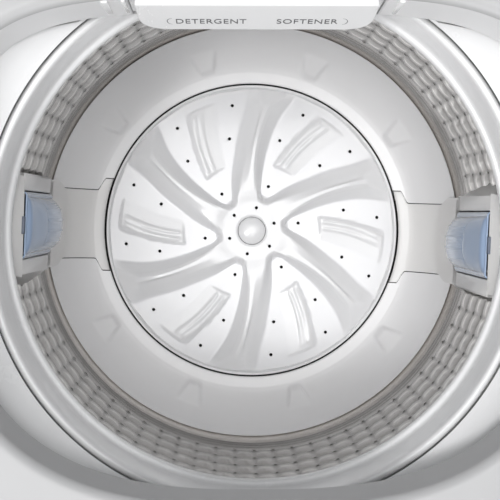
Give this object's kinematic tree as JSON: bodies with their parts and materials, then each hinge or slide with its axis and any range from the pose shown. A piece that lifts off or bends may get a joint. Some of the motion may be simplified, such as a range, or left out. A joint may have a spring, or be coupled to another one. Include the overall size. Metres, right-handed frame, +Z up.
{
  "type": "top load washing machine",
  "caption": "Free-standing top load washer with an open hinged lid, spin basket, swept-vane pulsator, lint filters and a detergent drawer.",
  "frame": {"origin": "on the floor under the middle of the machine's footprint", "axes": "+Z up, -Y out of the front, +X to the viewer's right from the front"},
  "size_m": [0.58, 0.6, 1.3168],
  "materials": {
    "white_paint": "gloss powder coat",
    "white_plastic": "semi-gloss moulded",
    "grey_plastic": "semi-gloss moulded",
    "stainless": "embossed and perforated",
    "filter_blue": "translucent moulded",
    "filter_mesh": "fine woven mesh",
    "lid_glass": "tempered",
    "dark_plastic": "moulded",
    "rubber": "matt",
    "zinc_steel": "zinc plated",
    "cast_aluminium": "as cast",
    "circuit": "coated board",
    "display_black": "polished",
    "tub_plastic": "moulded"
  },
  "bodies": {
    "cabinet": {"cabinet_shell": "white_paint", "rear_panel": "white_paint", "base_frame": "dark_plastic", "foot_pads": "rubber", "foot_bolts": "zinc_steel", "corner_brackets": "zinc_steel", "suspension_rods": "zinc_steel", "suspension_springs": "zinc_steel", "top_cover": "white_plastic", "console_housing": "white_plastic", "control_panel": "grey_plastic", "display_window": "display_black", "circuit_board": "circuit", "lid_hinge_pins": "zinc_steel", "dispenser_housing": "white_plastic", "inlet_valve": "tub_plastic", "drain_outlet": "dark_plastic", "cord_gland": "rubber"},
    "lid": {"lid_frame": "white_plastic", "lid_glass": "lid_glass"},
    "drawer": {"dispenser_drawer": "white_plastic", "softener_cap": "grey_plastic"},
    "tub": {"outer_tub": "tub_plastic", "tub_cover": "tub_plastic", "chassis_plate": "zinc_steel", "chassis_bolts": "zinc_steel", "clutch_housing": "cast_aluminium", "upper_bearing": "zinc_steel", "lower_bearing": "zinc_steel", "tub_seal": "rubber", "motor": "cast_aluminium", "drain_valve": "tub_plastic", "drive_belt": "rubber", "spring_cups": "dark_plastic"},
    "basket": {"basket_wall": "stainless", "basket_base": "grey_plastic", "balance_ring": "white_plastic", "duct_cover_left": "grey_plastic", "duct_cover_right": "grey_plastic", "basket_flange": "cast_aluminium", "flange_bolts": "zinc_steel", "spin_shaft": "zinc_steel"},
    "filter_left": {"filter_frame_left": "filter_blue", "filter_mesh_left": "filter_mesh"},
    "filter_right": {"filter_frame_right": "filter_blue", "filter_mesh_right": "filter_mesh"},
    "agitator": {"pulsator": "white_plastic", "pulsator_cap": "white_plastic", "pulsator_screw": "zinc_steel", "wash_shaft": "zinc_steel", "drive_pulley": "cast_aluminium"},
    "rotor": {"motor_shaft": "zinc_steel", "motor_pulley": "cast_aluminium"},
    "button_power": {"button_power": "white_plastic"},
    "button_start": {"button_start": "white_plastic"},
    "button_program": {"button_program": "white_plastic"},
    "button_level": {"button_level": "white_plastic"},
    "button_wash": {"button_wash": "white_plastic"},
    "button_spin": {"button_spin": "white_plastic"}
  },
  "joints": [
    {"name": "lid_hinge", "type": "hinge", "parent": "cabinet", "child": "lid", "pos_m": [0, 0.186, 0.896], "axis": [1, 0, 0], "range_deg": [0, 100]},
    {"name": "drawer_slide", "type": "slide", "parent": "cabinet", "child": "drawer", "axis": [0, -1, 0], "range_m": [0, 0.09]},
    {"name": "tub_float", "type": "slide", "parent": "cabinet", "child": "tub", "axis": [0, 0, 1], "range_m": [-0.018, 0.006], "stiffness_N_per_m": 14000, "springref_m": 0.01504, "deforming": ["suspension_springs"]},
    {"name": "basket_spin", "type": "hinge", "parent": "tub", "child": "basket", "pos_m": [0, -0.02, 0.5], "axis": [0, 0, 1], "continuous": true},
    {"name": "pulsator_spin", "type": "hinge", "parent": "basket", "child": "agitator", "pos_m": [0, -0.02, 0.39], "axis": [0, 0, 1], "continuous": true},
    {"name": "motor_spin", "type": "hinge", "parent": "tub", "child": "rotor", "pos_m": [-0.15, -0.02, 0.11], "axis": [0, 0, 1], "continuous": true},
    {"name": "filter_left_tilt", "type": "hinge", "parent": "basket", "child": "filter_left", "pos_m": [-0.21619, -0.01056, 0.548], "axis": [0.0436, 0.999, 0], "range_deg": [0, 25]},
    {"name": "filter_right_tilt", "type": "hinge", "parent": "basket", "child": "filter_right", "pos_m": [0.21619, -0.02944, 0.548], "axis": [-0.0436, -0.999, 0], "range_deg": [0, 25]},
    {"name": "button_power_press", "type": "slide", "parent": "cabinet", "child": "button_power", "axis": [0, 0.8944, -0.4472], "range_m": [0, 0.0012], "stiffness_N_per_m": 600, "springref_m": -0.001},
    {"name": "button_start_press", "type": "slide", "parent": "cabinet", "child": "button_start", "axis": [0, 0.8944, -0.4472], "range_m": [0, 0.0012], "stiffness_N_per_m": 600, "springref_m": -0.001},
    {"name": "button_program_press", "type": "slide", "parent": "cabinet", "child": "button_program", "axis": [0, 0.8944, -0.4472], "range_m": [0, 0.0012], "stiffness_N_per_m": 600, "springref_m": -0.001},
    {"name": "button_level_press", "type": "slide", "parent": "cabinet", "child": "button_level", "axis": [0, 0.8944, -0.4472], "range_m": [0, 0.0012], "stiffness_N_per_m": 600, "springref_m": -0.001},
    {"name": "button_wash_press", "type": "slide", "parent": "cabinet", "child": "button_wash", "axis": [0, 0.8944, -0.4472], "range_m": [0, 0.0012], "stiffness_N_per_m": 600, "springref_m": -0.001},
    {"name": "button_spin_press", "type": "slide", "parent": "cabinet", "child": "button_spin", "axis": [0, 0.8944, -0.4472], "range_m": [0, 0.0012], "stiffness_N_per_m": 600, "springref_m": -0.001}
  ],
  "couplings": [
    {"joint": "motor_spin", "follows": "pulsator_spin", "ratio": 3}
  ]
}
